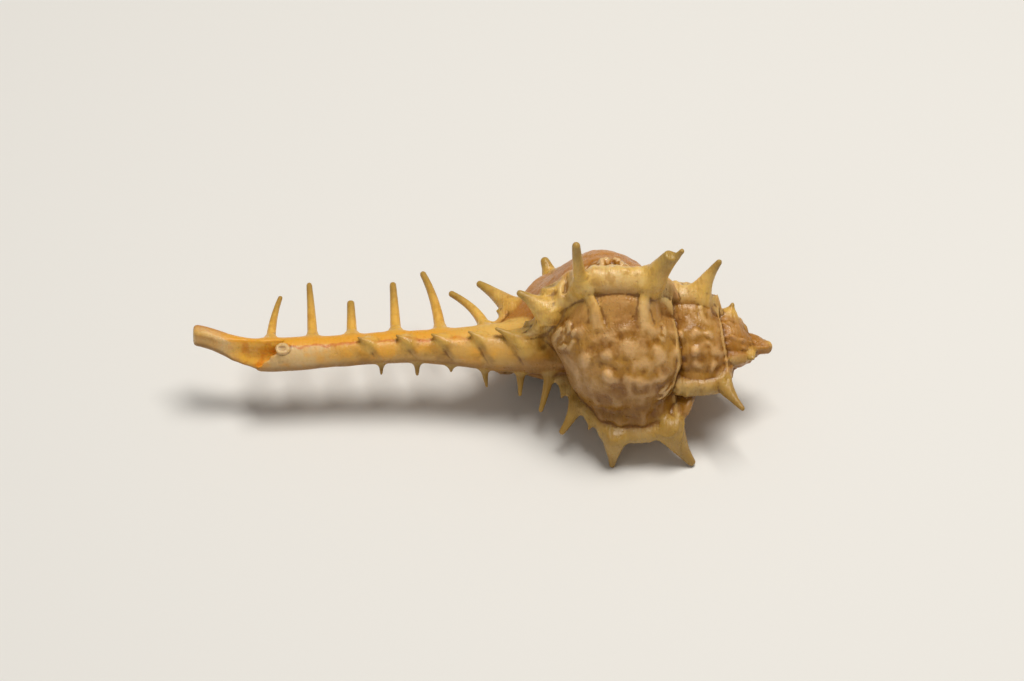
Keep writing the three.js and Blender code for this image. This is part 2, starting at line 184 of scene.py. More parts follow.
FRILL_DEPTH = 0.25
NECK_FRILL_STEP = 3.4
NECK_FRILL_DEPTH = 0.65
LEAF_STEP = 1.7
LEAF_DEPTH = 0.5
LEAFY_GROWTH = -180
POCKET_DEPTH = 1.6
LIP_FLARE = 0.9


def on_spire(growth):
    """0 on the last turn and 1 on the turns of the spire."""
    return eased(-growth, 325, 400)


def wave(way, step, wander=0):
    """Even swells from 0 to 1, a step apart, shifted by wander in radians."""
    return 0.5 + 0.5 * np.cos(2 * math.pi * way / step + wander)


def past_varix(growth, reach=VARIX_STEP / 2):
    """Degrees from a ridge to a younger place. A place up to reach degrees older counts below nought."""
    nearest = np.maximum(0, np.ceil((VARIX_FIRST - growth - reach) / VARIX_STEP))
    return growth - (VARIX_FIRST - VARIX_STEP * nearest)


def varix_spread(growth, along):
    """Degrees that a ridge takes on its younger and on its older side."""
    widening = OLD_VARIX_WIDENING * on_spire(growth)
    middle_neck = eased(-along, 6.5, 10) * hill(growth, VARIX_FIRST - VARIX_STEP, 40)
    fall = VARIX_FALL + widening + NECK_FRILL * middle_neck
    rise = VARIX_RISE + widening - (6 + 4 * on_spire(growth)) * eased(along, 8.5, 12.5)
    return fall, rise


def varix_share(growth, along=0):
    fall, rise = varix_spread(growth, along)
    past = past_varix(growth)
    part = np.abs(np.where(past > 0, past / fall, past / rise))
    bulge = np.where(past > 0, 2.4, 1.9)
    roundness = np.where(past > 0, 0.45, 0.58) + 0.25 * on_spire(growth)
    return np.clip(1 - part**bulge, 0, 1) ** roundness


def varix_foot(growth, along):
    """The hollow curve by which the whorl rises to a ridge, fading with the distance from it."""
    fall, rise = varix_spread(growth, along)
    past = past_varix(growth)
    beyond = np.maximum(0, np.where(past > 0, past - fall, -past - rise))
    younger_foot = VARIX_FOOT * hill(beyond, 0, FOOT_RUN)
    under_foot = UNDER_FOOT * hill(beyond, 0, UNDER_FOOT_RUN)
    return np.where(past > 0, younger_foot, under_foot)


def varix_section(along, scale):
    on_neck = NECK_CORE + VARIX_NECK_SLOPE * (VARIX_NECK_REACH + along * scale) + RADIUS_LOSS
    on_neck = np.clip(on_neck / (RADIUS_FACTOR * scale), 0, VARIX_RADIUS)
    to_seam = np.clip(1 - (along / VARIX_APICAL_HALF) ** 2, 0, 1) ** VARIX_SHOULDER
    on_shoulder = SUTURE_RADIUS + (VARIX_RADIUS - SUTURE_RADIUS) * to_seam
    size = 1 - 0.08 * eased(scale, 0.44, 0.36)
    return np.where(along < 0, on_neck, np.where(along < VARIX_APICAL_HALF, on_shoulder, 0)) * size


def fold_share(growth, along):
    share = np.zeros_like(along * growth)
    for place, lean, width, run in zip(FOLD_PLACES, FOLD_LEANS, FOLD_WIDTHS, FOLD_RUNS):
        past = past_varix(growth, run)
        behind = np.clip(1 + past / run, 0, 1) * (past <= 0)
        off = np.abs(along - place - lean * np.clip(1 + past / 16, 0, 1)) / width
        share = np.maximum(share, np.exp(-(off**3)) * behind**1.3)
    return share


def ridge_height(growth, x, along, scale, past):
    """The ridge's section with teeth along its crest, and with a curtain of hollows by the neck."""
    curtain = wave(x - CURTAIN_FIRST, CURTAIN_STEP)
    on_curtain = eased(along, -17, -14) * (1 - eased(along, -9, -7)) * hill(past, 5, 11)
    tooth_height = TOOTH_HEIGHT + TOOTH_HEIGHT * on_spire(growth)
    teeth = tooth_height * np.maximum(0, unevenness(x, growth * 0.12, TOOTH_SIZE, 31)) * hill(past, 1, 3)
    return varix_section(along, scale) - CURTAIN_DEPTH * curtain * on_curtain + teeth


def ridge_cuts(growth, along, share, past):
    """How deep the gaps between knuckles, frills and leaves are cut into a ridge, one after another."""
    on_ridge = along < VARIX_APICAL_HALF
    on_neck = eased(-along, 6, 9)
    younger = eased(past, 0.3, 2.5) * share
    knuckles = wave(along - KNUCKLE_FIRST, KNUCKLE_STEP) * eased(along, 7, 8.6)
    frill_step = FRILL_STEP + (NECK_FRILL_STEP - FRILL_STEP) * on_neck
    frill_depth = FRILL_DEPTH + (NECK_FRILL_DEPTH - FRILL_DEPTH) * on_neck
    frill = wave(along, frill_step, 3 * unevenness(along, growth, 5, 5))
    leaves = wave(past, LEAF_STEP, 2 * unevenness(along, growth, 4, 8))
    return (
        KNUCKLE_DEPTH * knuckles * share * on_ridge,
        frill_depth * frill * younger * on_ridge,
        LEAF_DEPTH * leaves * younger * eased(along, 5, 9) * on_ridge * (growth < LEAFY_GROWTH),
    )


# Ribs, lumps and cords on the whorls
# Between two ridges the shell is thrown into low ribs, and spiral cords break each rib into lumps.
# Worn lumps are paler than the hollows, and the seam of each turn has a thin ragged edge.
RIB_STEP = 18.8
RIB_FIRST = -137
LUMP_HEIGHT = 1.05
CORD_STEP = 6.2
CORD_FIRST = 1.3
SMALL_KNOB = 2.3
SMALL_KNOB_HEIGHT = 0.4
SMALL_CORD_HEIGHT = 0.08
RIDGE_SWELL = 0.55
SPIRE_SWELL = 1.5
SEAM_HEIGHT = 0.6
SEAM_WIDTH = 0.42
SEAM_INSET = 0.55
SEAM_WANDER = 0.5
APEX_SLIMMING = 1.9


def whorl_relief(growth, x, along, scale, section, share, past):
    """How far the lumps and the rough grain stand out between ridges, and the swells on them."""
    drift = 1.5 * unevenness(growth, along * 3, 21, 1)
    jitter = 0.3 * unevenness(growth * 0.5, along * 3, 17, 13)
    rib = wave((growth - RIB_FIRST) / RIB_STEP + jitter, 1)
    cord = wave(along + drift - CORD_FIRST, CORD_STEP)
    small_cord = wave(along + drift - CORD_FIRST, CORD_STEP / 2)
    higher = 1 + 0.5 * eased(-growth, 300, 380) + 0.7 * eased(-growth, 420, 560)
    kept = np.clip(0.6 + 0.85 * unevenness(growth, along * 3, 16, 2), 0, 1.2) * higher
    on_whorl = eased(along, -CANAL_HALF * 0.92, -CANAL_HALF * 0.6) * (1 - share)
    on_whorl = on_whorl * (1 - 0.9 * eased(past, -36, -18) * (past < 0))
    on_whorl = on_whorl * (1 - 0.8 * eased(growth, -100, -80))
    lumps = LUMP_HEIGHT * kept * rib**1.2 * (0.2 + 0.8 * cord) * on_whorl
    turned = np.radians(growth - FRONT_GROWTH - neck_twist(x))
    y = np.cos(turned) * scale * section
    z = np.sin(turned) * scale * section
    knobs = SMALL_KNOB_HEIGHT * np.maximum(0, unevenness(x, y, SMALL_KNOB, 15, z))
    knobs = knobs + SMALL_CORD_HEIGHT * small_cord
    rough = 0.13 * unevenness(x, y, 1.4, 3, z) + 0.07 * unevenness(x, y, 0.7, 4, z)
    swells = RIDGE_SWELL * unevenness(x, y, 3.6, 16, z) * (1 - on_spire(growth))
    swells = swells + SPIRE_SWELL * unevenness(x, y, 2.3, 17, z) * on_spire(growth)
    return lumps + knobs * on_whorl + rough * (1 - 0.5 * share) + swells * share


def seam_place(growth):
    """How far from a turn's middle the ragged edge of its seam runs."""
    return seam_half(growth) - SEAM_INSET + SEAM_WANDER * unevenness(growth, growth * 0, 26, 6)


def dressed_section(section, growth, x, along, scale):
    """A turn's plain section with its ridges, folds, lumps and the ragged edge of its seam."""
    bent = growth - NECK_BEND * hill(x, 16, 4) * hill(growth, VARIX_FIRST - VARIX_STEP, 50)
    bent = bent - SEAM_BEND * eased(along, 8, 15)
    past = past_varix(bent)
    share = varix_share(bent, along) * eased(x, *RIDGE_FADES)
    held = np.where(section > 0, share, share**0.4)
    dressed = section + held * np.maximum(0, ridge_height(growth, x, along, scale, past) - section)
    for cut in ridge_cuts(growth, along, share, past):
        dressed = dressed - cut
    dressed = dressed + whorl_relief(growth, x, along, scale, section, share, past) * (section > 0)
    foot = varix_foot(bent, along) * (section > 0) * eased(along, -16, -9)
    dressed = dressed + np.maximum(FOLD_HEIGHT * fold_share(growth, along), foot) * (1 - share)
    pocket = POCKET_DEPTH * eased(along, 9.6, 10.8) * hill(past, -13, 5)
    dressed = dressed - pocket * (1 - share) * (section > 0)
    dressed = dressed + LIP_FLARE * eased(growth - lip_growth(x), -9, 0) * eased(x, -16, 0)
    seam = SEAM_HEIGHT * hill(along, seam_place(growth), SEAM_WIDTH)
    return dressed + seam * (dressed > 0) * (1 - share)


def turn_radius(growth, x, bare=False):
    """Distance of one turn's surface from the axis. A bare turn has no ridges, folds or lumps."""
    scale = turn_scale(growth)
    along = (x - coil_middle(scale)) / scale
    section = plain_section(along, growth)
    if not bare:
        section = dressed_section(section, growth, x, along, scale)
    radius = RADIUS_FACTOR * scale * section - RADIUS_LOSS - APEX_SLIMMING * eased(x, 49, 58)
    return np.where(growth > OLDEST_GROWTH, radius, 0)


# Neck and canal
# The whorl narrows to a long tube, closed but for a slit underneath. Its front is laid in overlapping
# shingles, one for each scale of the middle row, and the end of the front wall is broken away.
CANAL_RADIUS = 3.05
CANAL_END_RADIUS = 3.4
NECK_RADIUS = 5.5
CANAL_BLEND = 3
CANAL_DROP = 1.7
CANAL_LIFT = 2.2
CANAL_BEND_FROM = 12
BREAK_X = -46
TIP_RADIUS = 1.35
TAPER_FROM = 44
TAPER_TO = 58
SHINGLE_TIPS = (-32.2, -25.4, -17.6, -10.3, -2.7, 4.6)
SHINGLE_LENGTH = 7.6
SHINGLE_HEIGHT = 1.15
SHINGLE_CORNER = 36


def canal_radius(x):
    behind_break = eased(-x, 30, 40) * (CANAL_END_RADIUS - CANAL_RADIUS)
    neck = eased(x, -17, 12) * (NECK_RADIUS - CANAL_RADIUS)
    to_tip = eased(-x, TAPER_FROM, TAPER_TO)
    in_body = 1 - eased(x, 20, 40)
    return ((CANAL_RADIUS + behind_break + neck) * (1 - to_tip) + TIP_RADIUS * to_tip) * in_body


def canal_rise(x):
    sag = -CANAL_DROP * eased(-x, CANAL_BEND_FROM, -BREAK_X)
    return sag + (CANAL_LIFT + CANAL_DROP) * eased(-x, -BREAK_X, LENGTH / 2)


def facing(growth, x):
    """Degrees from the side that faces up and forward, towards the top, for a growth angle."""
    turned = growth - FRONT_GROWTH - neck_twist(x) - SHOWN_SIDE
    return (turned + 180) % FULL_TURN - 180


def growth_facing(side, x):
    """The growth angle of the place that lies side degrees from the one that faces up and forward."""
    return side + SHOWN_SIDE + float(neck_twist(x)) + FRONT_GROWTH


def behind_shingle(side, x, tip):
    """How far behind a shingle's front edge a place lies. The edge slants back from its upper corner."""
    return x - tip - 3.2 * np.clip((SHINGLE_CORNER - side) / 60, 0, 1.3) ** 0.8


def shingles(growth, x):
    side = facing(growth, x)
    band = eased(side, -62, -18) * (1 - eased(side, SHINGLE_CORNER - 22, SHINGLE_CORNER + 8))
    height = np.zeros_like(side)
    for number, tip in enumerate(SHINGLE_TIPS):
        behind = behind_shingle(side, x, tip)
        strength = 0.3 if number == 0 else 1
        lap = np.clip(1 - behind / SHINGLE_LENGTH, 0, 1) ** 1.4 * eased(behind, -0.5, 1.5)
        height = np.maximum(height, strength * lap)
    return SHINGLE_HEIGHT * height * band


def shingle_shadow(growth, x):
    """Where a shadow is painted beside each shingle's raised front edge, widest at its upper corner."""
    side = facing(growth, x)
    band = (0.3 + 0.7 * eased(side, -20, 20)) * eased(side, -62, -30) * (1 - eased(side, SHINGLE_CORNER, 44))
    dark = np.zeros_like(side)
    for tip in SHINGLE_TIPS[1:]:
        dark = np.maximum(dark, hill(behind_shingle(side, x, tip), 0.5, 0.75 + 0.5 * eased(side, 0, 30)))
    return dark * band


def canal_skin(growth, x):
    uneven = 0.09 * unevenness(x, growth * 0.06, 3.1, 7)
    return canal_radius(x) + shingles(growth, x) + uneven


# Crusts of lime
# Rough clumps of whitish lime sit by the neck, behind the roll of the front ridge, at the seam and
# along the ledge, each given by its middle and its half-widths along the shell and round it.
CRUSTS = (
    dict(x=16.6, side=10, across=15, along=2.7, height=0.85),
    dict(x=25.4, side=61, across=7, along=6.4, height=1.1),
    dict(x=36.6, side=12, across=9, along=1.1, height=0.6),
    dict(x=37.6, side=-44, across=11, along=2.2, height=0.7),
)


def crust_share(growth, x):
    side = facing(growth, x)
    share = np.zeros_like(side)
    for crust in CRUSTS:
        off = np.hypot((x - crust["x"]) / crust["along"], (side - crust["side"]) / crust["across"])
        share = np.maximum(share, crust["height"] * (1 - eased(off, 0.55, 1.1)))
    return share


def crusts(growth, x):
    arc = growth * 0.27
    clump = 0.5 + 0.75 * unevenness(arc, x, 1.1, 11) + 0.3 * unevenness(arc, x, 0.55, 12)
    return 0.9 * crust_share(growth, x) * np.maximum(0, clump)


# The whole coil as one sheet of radii
# Every way out from the axis meets one outermost surface. Its distance is kept for each small step back
# from the lip and along the axis, and the shell is filled up to it, voxel by voxel. The hollow that
# starts at the mouth is worked out on the way.
VOXEL = 0.26
BACK_STEP = 0.4
GRID_MARGIN = 1.2
TURNS = 5
solid_low, solid_high = (np.array(corner) * 1000 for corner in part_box("shell"))
grid_low = solid_low - GRID_MARGIN
grid_high = solid_high + GRID_MARGIN
xs, ys, zs = (np.arange(low, high, VOXEL) for low, high in zip(grid_low, grid_high))
backs = np.arange(0, FULL_TURN + BACK_STEP / 2, BACK_STEP)
back_grid, x_grid = np.meshgrid(backs, xs, indexing="ij")
newest_growth = lip_growth(x_grid) - back_grid


def larger(a, b, rounding):
    """The larger of two distances, with the corner between them rounded off."""
    near = np.maximum(rounding - np.abs(a - b), 0) / rounding
    return np.maximum(a, b) + near * near * rounding / 4


def largest_turn(numbers, bare=False):
    """Radii of the outermost of some turns. The newest turn has number 0."""
    return np.max([turn_radius(newest_growth - FULL_TURN * n, x_grid, bare) for n in numbers], axis=0)


newest = largest_turn([0])
older = largest_turn(range(1, TURNS))
bare_newest = largest_turn([0], bare=True)
bare_older = largest_turn([1, 2], bare=True)
canal = canal_skin(newest_growth, x_grid)
outer = larger(np.maximum(newest, older), canal, CANAL_BLEND)
outer = outer + crusts(newest_growth, x_grid)
inner = larger(older, canal, CANAL_BLEND)


def nearness(radii, least=0.15):
    """The distance to a slanting surface as a share of the way straight out to it."""
    along_x = np.gradient(radii, VOXEL, axis=1)
    round_axis = np.gradient(radii, math.radians(BACK_STEP), axis=0) / np.maximum(radii, 1)
    return np.clip(1 / np.sqrt(1 + along_x**2 + round_axis**2), least, 1)


outer_nearness = nearness(outer)
inner_nearness = nearness(inner)
bare_nearness = nearness(bare_newest, least=0.4)


def canal_middle(x):
    """Where the canal's middle line lies, off the coiling axis."""
    rise = canal_rise(x) * math.sqrt(0.5)
    return AXIS_BACK + rise, AXIS_HEIGHT + rise


LIP_ZONE = 60
LIP_WALL = 1.2
WHORL_WALL = 2.7
PILLAR_WALL = 0.6
WALL_GROWS_BY = 25
HOLLOW_SWEEP = 190
HOLLOW_CORNER = 2.6
HOLLOW_END = 3
MOUTH_RUN = 12
NO_HOLLOW = 9
solid = np.empty((len(xs), len(ys), len(zs)), dtype=np.float32)
hollow = np.full_like(solid, NO_HOLLOW)
y_grid, z_grid = np.meshgrid(ys, zs, indexing="ij")
for i, x in enumerate(xs):
    middle_y, middle_z = canal_middle(x)
    reach = np.hypot(y_grid - middle_y, z_grid - middle_z)
    turned = np.degrees(np.arctan2(z_grid - middle_z, middle_y - y_grid))
    back = (lip_growth(x) - (turned + neck_twist(x) + FRONT_GROWTH)) % FULL_TURN

    def read(sheet, at=back):
        return np.interp(at, backs, sheet[:, i])

    ahead = np.where(back > FULL_TURN / 2, FULL_TURN - back, -back)
    arc = np.radians(ahead) * reach
    surface = (reach - read(outer)) * read(outer_nearness)
    under = (reach - read(inner)) * read(inner_nearness)
    lip_end = np.minimum(under, np.maximum(reach - read(outer), arc))
    lip_edge = np.maximum(reach - outer[0, i], arc)
    surface = np.where((ahead <= 0) & (ahead > -LIP_ZONE), lip_end, surface)
    surface = np.where((ahead > 0) & (ahead < LIP_ZONE), np.minimum(surface, lip_edge), surface)
    solid[i] = surface
    inside = np.clip(-ahead, 0, HOLLOW_SWEEP)
    wall = LIP_WALL + (WHORL_WALL - LIP_WALL) * eased(-ahead, 0, WALL_GROWS_BY)
    roof = reach - read(bare_newest, inside) + wall / read(bare_nearness, inside)
    floor = np.maximum(read(bare_older, inside), canal_radius(x) * 1.05) + PILLAR_WALL - reach
    deep = np.radians(-ahead - HOLLOW_SWEEP) * reach
    open_way = larger(larger(roof, floor, HOLLOW_CORNER), deep, HOLLOW_END)
    before_lip = (ahead > 0) & (ahead < MOUTH_RUN)
    behind_lip = (ahead < MOUTH_RUN) & (back < HOLLOW_SWEEP + 30)
    hollow[i] = np.where(behind_lip | before_lip, open_way, NO_HOLLOW)

# Spines
# Each old lip grew a row of tubular spines, thickest where they leave the ridge. Many are broken or
# worn blunt. Those of the last ridge stand up along the whole canal, those of the middle one face the
# front and are mere scales on the canal, and two of the low row prop the shell on the table.
LAST_ROW = (
    dict(x=-44, reach=12.2, lean=1.8, root=1.0, tip=0.5, bow=-0.7, flare=2),
    dict(x=-35.2, reach=15.4, lean=-1.2, root=1.08, tip=0.62, flare=2),
    dict(x=-27.1, reach=9.8, lean=-0.5, root=1.12, tip=0.78, broken=True, flare=2),
    dict(x=-18, reach=14.2, lean=-0.9, root=1.14, tip=0.7, flare=2.1),
    dict(x=-8.7, reach=16.6, lean=-4.1, root=1.2, tip=0.68, bow=1, flare=2.1),
    dict(x=0.6, reach=9.6, lean=-7.6, root=1.2, tip=0.68, bow=2.2, flare=1.8),
    dict(x=4.3, reach=0.9, lean=-1.5, root=0.6, tip=0.22),
    dict(x=6.2, reach=6.4, lean=-7.4, root=1.9, tip=0.75),
    dict(x=14.6, reach=3.2, lean=-2, swing=-9, root=1.8, tip=0.95),
    dict(x=29, reach=9, lean=2.5, swing=-4, root=2, tip=0.7),
)
MIDDLE_ROW = (
    dict(x=8.6, turn=-15, reach=0.9, lean=-6.1, swing=28, root=1.5, tip=0.35),
    dict(x=11.2, turn=-14.6, reach=1.6, lean=-2.4, swing=37, root=1.3, tip=0.35),
    dict(x=13.4, turn=6, reach=2.6, lean=-6.3, swing=11, root=2.1, tip=0.7),
    dict(x=14.2, turn=16, reach=2.3, lean=-0.6, swing=7, root=2.2, tip=1.7, broken=True),
    dict(x=20.2, reach=12, lean=-1.3, root=1.35, tip=0.85, bow=-0.5, flare=1.7),
    dict(x=34.4, reach=6.8, lean=3.8, root=2.3, tip=1.3, broken=True),
    dict(x=35.4, reach=8.7, lean=5.2, root=1.2, tip=0.5, broken=True),
)
LOW_ROW = (
    dict(x=-21, reach=2.3, root=0.6, tip=0.3),
    dict(x=-13.6, reach=2.6, root=0.7, tip=0.38),
    dict(x=-6.6, reach=1.4, root=0.8, tip=0.3),
    dict(x=0.2, reach=3.7, lean=0.6, root=0.75, tip=0.32),
    dict(x=7.8, reach=4.8, lean=-0.2, root=0.85, tip=0.4),
    dict(x=13.8, reach=7, lean=-2, swing=-4, root=0.95, tip=0.5),
    dict(x=16.8, reach=1, lean=-0.6, root=0.5, tip=0.2),
    dict(x=19.4, reach=5, lean=-3.4, swing=-5, root=1.25, tip=0.65),
    dict(x=22.6, reach=1.6, lean=-0.9, root=0.9, tip=0.25),
    dict(x=27, reach=4.1, lean=-0.4, swing=-13.5, root=1.8, tip=0.65),
    dict(x=38.4, reach=5.6, lean=5, swing=-13.5, root=2.3, tip=0.85),
)
SPIRE_ROW = (
    dict(older=3, along=5, reach=4.6, lean=3.6, root=1.7, tip=0.65),
    dict(older=4, along=3.5, reach=6, lean=4, root=1.6, tip=0.62),
    dict(older=5, along=4.8, reach=6, lean=4, root=1.4, tip=0.5),
    dict(older=6, along=1.6, reach=2.4, lean=1.6, root=1.1, tip=0.45),
    dict(older=7, along=1, reach=1.5, lean=0.6, root=0.9, tip=0.4),
    dict(older=8, along=3, reach=1, lean=0.6, root=0.7, tip=0.3),
)
ROOT_DEPTH = 0.9
BEND_PLACE = 0.55
SPINE_STEPS = 12
grown_spines = []


def smaller(a, b, rounding):
    return -larger(-a, -b, rounding)


def outward(turned):
    return np.array((0, -math.cos(math.radians(turned)), math.sin(math.radians(turned))))


def surface_point(growth, x, above=0, swing=0):
    back = (lip_growth(x) - growth) % FULL_TURN
    column = (x - xs[0]) / VOXEL
    i = int(column)
    near, far = (np.interp(back, backs, outer[:, n]) for n in (i, i + 1))
    radius = near + (far - near) * (column - i) + above
    middle_y, middle_z = canal_middle(x)
    turned = growth - FRONT_GROWTH - neck_twist(x) + swing
    return np.array((x, middle_y, middle_z)) + outward(turned) * radius


def block_round(points, margin):
    """The part of the voxel grid round some points: its slices and its coordinates."""
    low = (np.min(points, axis=0) - margin - grid_low) / VOXEL
    high = (np.max(points, axis=0) + margin - grid_low) / VOXEL
    low = np.maximum(np.floor(low).astype(int), 0)
    high = np.minimum(np.ceil(high).astype(int) + 1, solid.shape)
    cut = tuple(slice(a, b) for a, b in zip(low, high))
    where = xs[cut[0]][:, None, None], ys[cut[1]][None, :, None], zs[cut[2]][None, None, :]
    return cut, where


def rod(where, line, widths):
    """Distance from a bent, tapering round rod, given points along it and its half-width at each."""
    best = np.float32(99)
    for a, b, width_a, width_b in zip(line, line[1:], widths, widths[1:]):
        run = b - a
        part = sum((where[n] - a[n]) * run[n] for n in range(3)) / (run @ run)
        part = np.clip(part, 0, 1)
        off = sum((where[n] - a[n] - part * run[n]) ** 2 for n in range(3))
        best = np.minimum(best, np.sqrt(off) - width_a - (width_b - width_a) * part)
    return best


def grow_spine(x, growth, reach, root, tip, turn=0, lean=0, swing=0, bow=0, flare=1.35, broken=False):
    """Joins a spine to the shell. Root and tip are half-widths. Lean and swing move its tip, turn all."""
    start = surface_point(growth + turn, x, -ROOT_DEPTH)
    end = surface_point(growth + turn, x, reach, swing) + (lean, 0, 0)
    bend = start + (end - start) * BEND_PLACE + (bow - lean * 0.12, 0, 0)
    if not broken:
        end = end - (end - bend) / np.linalg.norm(end - bend) * tip * 0.8
    t = np.linspace(0, 1, SPINE_STEPS)[:, None]
    line = start * (1 - t) ** 2 + bend * 2 * t * (1 - t) + end * t**2
    knee = min(0.3, (1 + 0.6 * flare) / (reach + ROOT_DEPTH))
    widths = np.interp(t[:, 0], (0, knee, 0.62, 1), (root * flare, root, root * 0.4 + tip * 0.6, tip))
    cut, where = block_round(line, root * flare + 1.5)
    spine = rod(where, line, widths)
    if broken:
        way = (line[-1] - line[-2]) / np.linalg.norm(line[-1] - line[-2])
        beyond = sum((where[n] - line[-1][n]) * way[n] for n in range(3))
        spine = larger(spine, beyond, 0.3)
    solid[cut] = smaller(solid[cut], spine, 0.3 + 0.3 * root + 0.4 * flare)
    grown_spines.append((line, widths))


for number, row in enumerate((LAST_ROW, MIDDLE_ROW, LOW_ROW)):
    for spine in row:
        grow_spine(growth=VARIX_FIRST - VARIX_STEP * number, **spine)
# A short spur stands at the upper corner of each shingle.
for tip_x in SHINGLE_TIPS[1:5]:
    spur_growth = growth_facing(SHINGLE_CORNER - 14, tip_x)
    grow_spine(tip_x + 2.1, spur_growth, reach=0.7, lean=-2.5, swing=11, root=0.9, tip=0.25)
for spine in SPIRE_ROW:
    spine_growth = VARIX_FIRST - VARIX_STEP * spine["older"]
    place = coil_middle(turn_scale(spine_growth)) + spine["along"]
    shape = {key: value for key, value in spine.items() if key not in ("older", "along")}
    grow_spine(x=float(place), growth=float(spine_growth), **shape)

# First chamber
# The apex ends in the worn knob of the shell that the snail hatched with. It is lime like the rest, and
# the first turn grew on from it.
KNOB_RADIUS = 1.3
KNOB_PLACES = (4, 1.2, 0)
KNOB_WIDTHS = (2.4, 1.35, KNOB_RADIUS)
knob_end = np.array((LENGTH / 2 - KNOB_RADIUS, AXIS_BACK, AXIS_HEIGHT))
knob_line = [knob_end - (place, 0, 0) for place in KNOB_PLACES]
cut, where = block_round(np.array(knob_line), 3)
solid[cut] = smaller(solid[cut], rod(where, knob_line, KNOB_WIDTHS), 0.8)

# Inner lip
# A thin raised edge of smooth shell runs from the mouth's upper corner down the pillar to the slit. The
# snail laid it on the finished whorl as a glaze of lime.
INNER_LIP_ROUTE = (
    (31, 10.6, 262),
    (26, 9.4, 270),
    (20, 8.4, 277),
    (13, 7.4, 279),
    (6, 5.6, 273),
    (-2, 3.6, 266),
    (-9, 2.4, 262),
)
INNER_LIP_RADIUS = 0.9
lip_line = [
    outward(turned) * radius + (x, AXIS_BACK, AXIS_HEIGHT) for x, radius, turned in INNER_LIP_ROUTE
]
cut, where = block_round(np.array(lip_line), 3)
solid[cut] = smaller(solid[cut], rod(where, lip_line, [INNER_LIP_RADIUS] * len(lip_line)), 1.6)

# Mouth
# The hollow of the last whorl opens at the lip, with smooth walls one to three millimetres thick, and
# winds back out of sight. A narrow slit leads from it along the underside of the canal.
CANAL_SLIT_TURN = 260
SLIT_HALF_WIDTH = 0.6
SLIT_PLACES = (13, 6, 0, -6, -12, -20, -30, -38, -42.5)
solid = larger(solid, -hollow, 0.5)
slit_line = []
for x in SLIT_PLACES:
    middle_y, middle_z = canal_middle(x)
    slit_line.append(outward(CANAL_SLIT_TURN) * canal_radius(x) * 1.1 + (x, middle_y, middle_z))
slit_depths = [float(canal_radius(point[0])) * 0.9 for point in slit_line]
cut, where = block_round(np.array(slit_line), 4)
down = outward(CANAL_SLIT_TURN)
side = outward(CANAL_SLIT_TURN + 90)
slit_x, middles_y, middles_z = np.array(slit_line).T
off_y = where[1] - np.interp(where[0], slit_x[::-1], middles_y[::-1])
off_z = where[2] - np.interp(where[0], slit_x[::-1], middles_z[::-1])
depth = np.abs(off_y * down[1] + off_z * down[2]) - np.interp(where[0], slit_x[::-1], slit_depths[::-1])
width = np.abs(off_y * side[1] + off_z * side[2]) - SLIT_HALF_WIDTH
slit = larger(larger(depth, width, 0.4), np.maximum(where[0] - slit_x[0], slit_x[-1] - where[0]), 0.4)
solid[cut] = larger(solid[cut], -slit, 0.3)

# Broken end of the canal
# Near the tip the front wall has snapped off along a slanting line, so the bore of the canal lies
# open as a trough with a thick, pale, rounded rim.
BREAK_FACE_TURN = 18
BORE_SHARE = 0.38
BORE_WIDENING = 0.6
BREAK_SLANT = 5.4
cut, where = block_round(np.array(((-LENGTH / 2 - 2, -20, 5), (BREAK_X + 14, 10, 30))), 1)
middle_y, middle_z = canal_middle(where[0])
off_y = where[1] - middle_y
off_z = where[2] - middle_z
radius = canal_radius(where[0])
face = outward(BREAK_FACE_TURN)
to_front = off_y * face[1] + off_z * face[2]
height = (off_y + off_z) * math.sqrt(0.5)
edge = BREAK_X - 0.7 + BREAK_SLANT * np.clip((height + 3) / 4.5, 0, 1)
# Two waves of small chips roughen the edge.
edge = edge + 0.25 * np.sin(height * 5.1) + 0.15 * np.sin(height * 11.3 + 1)
face_height = (0.05 + 1.2 * eased(-where[0], 48.5, 56)) * radius
rough_face = 0.15 * unevenness(where[0] + 0 * height, height, 1.3, 9)
gap = larger(where[0] - edge, face_height + rough_face - to_front, 0.5)
to_side = off_y * face[2] - off_z * face[1]
bore = np.hypot(to_side * BORE_WIDENING, to_front - face_height - 0.2 * radius)
bore = bore - BORE_SHARE * radius * (1 - 0.9 * eased(-where[0], 48, 54))
bore = larger(bore, where[0] - (BREAK_X + 6.5), 1.5)
solid[cut] = larger(larger(solid[cut], -gap, 0.5), -bore, 0.4)

# Ring on the canal
# A small sea animal once sat on the canal, beside its broken end. It left a ring of pale lime with a
# thin floor in it.
SCAR_X = -41.3
SCAR_FACING = 21
SCAR_RING = 0.98
SCAR_STRETCH = 0.82
SCAR_WIDTH = 0.27
SCAR_FLOOR = 0.12
scar_growth = growth_facing(SCAR_FACING, SCAR_X)
scar_middle = surface_point(scar_growth, SCAR_X, 0.1)
scar_out = outward(scar_growth - FRONT_GROWTH - float(neck_twist(SCAR_X)))
cut, where = block_round(scar_middle[None, :], 3)
off = [where[n] - scar_middle[n] for n in range(3)]
above = off[1] * scar_out[1] + off[2] * scar_out[2]
across = off[1] * scar_out[2] - off[2] * scar_out[1]
from_middle = np.hypot(off[0] * SCAR_STRETCH, across)
ring = np.hypot(from_middle - SCAR_RING, above) - SCAR_WIDTH
scar_floor = np.maximum(from_middle - SCAR_RING, np.abs(above) - SCAR_FLOOR)
solid[cut] = smaller(solid[cut], np.minimum(ring, scar_floor), 0.25)

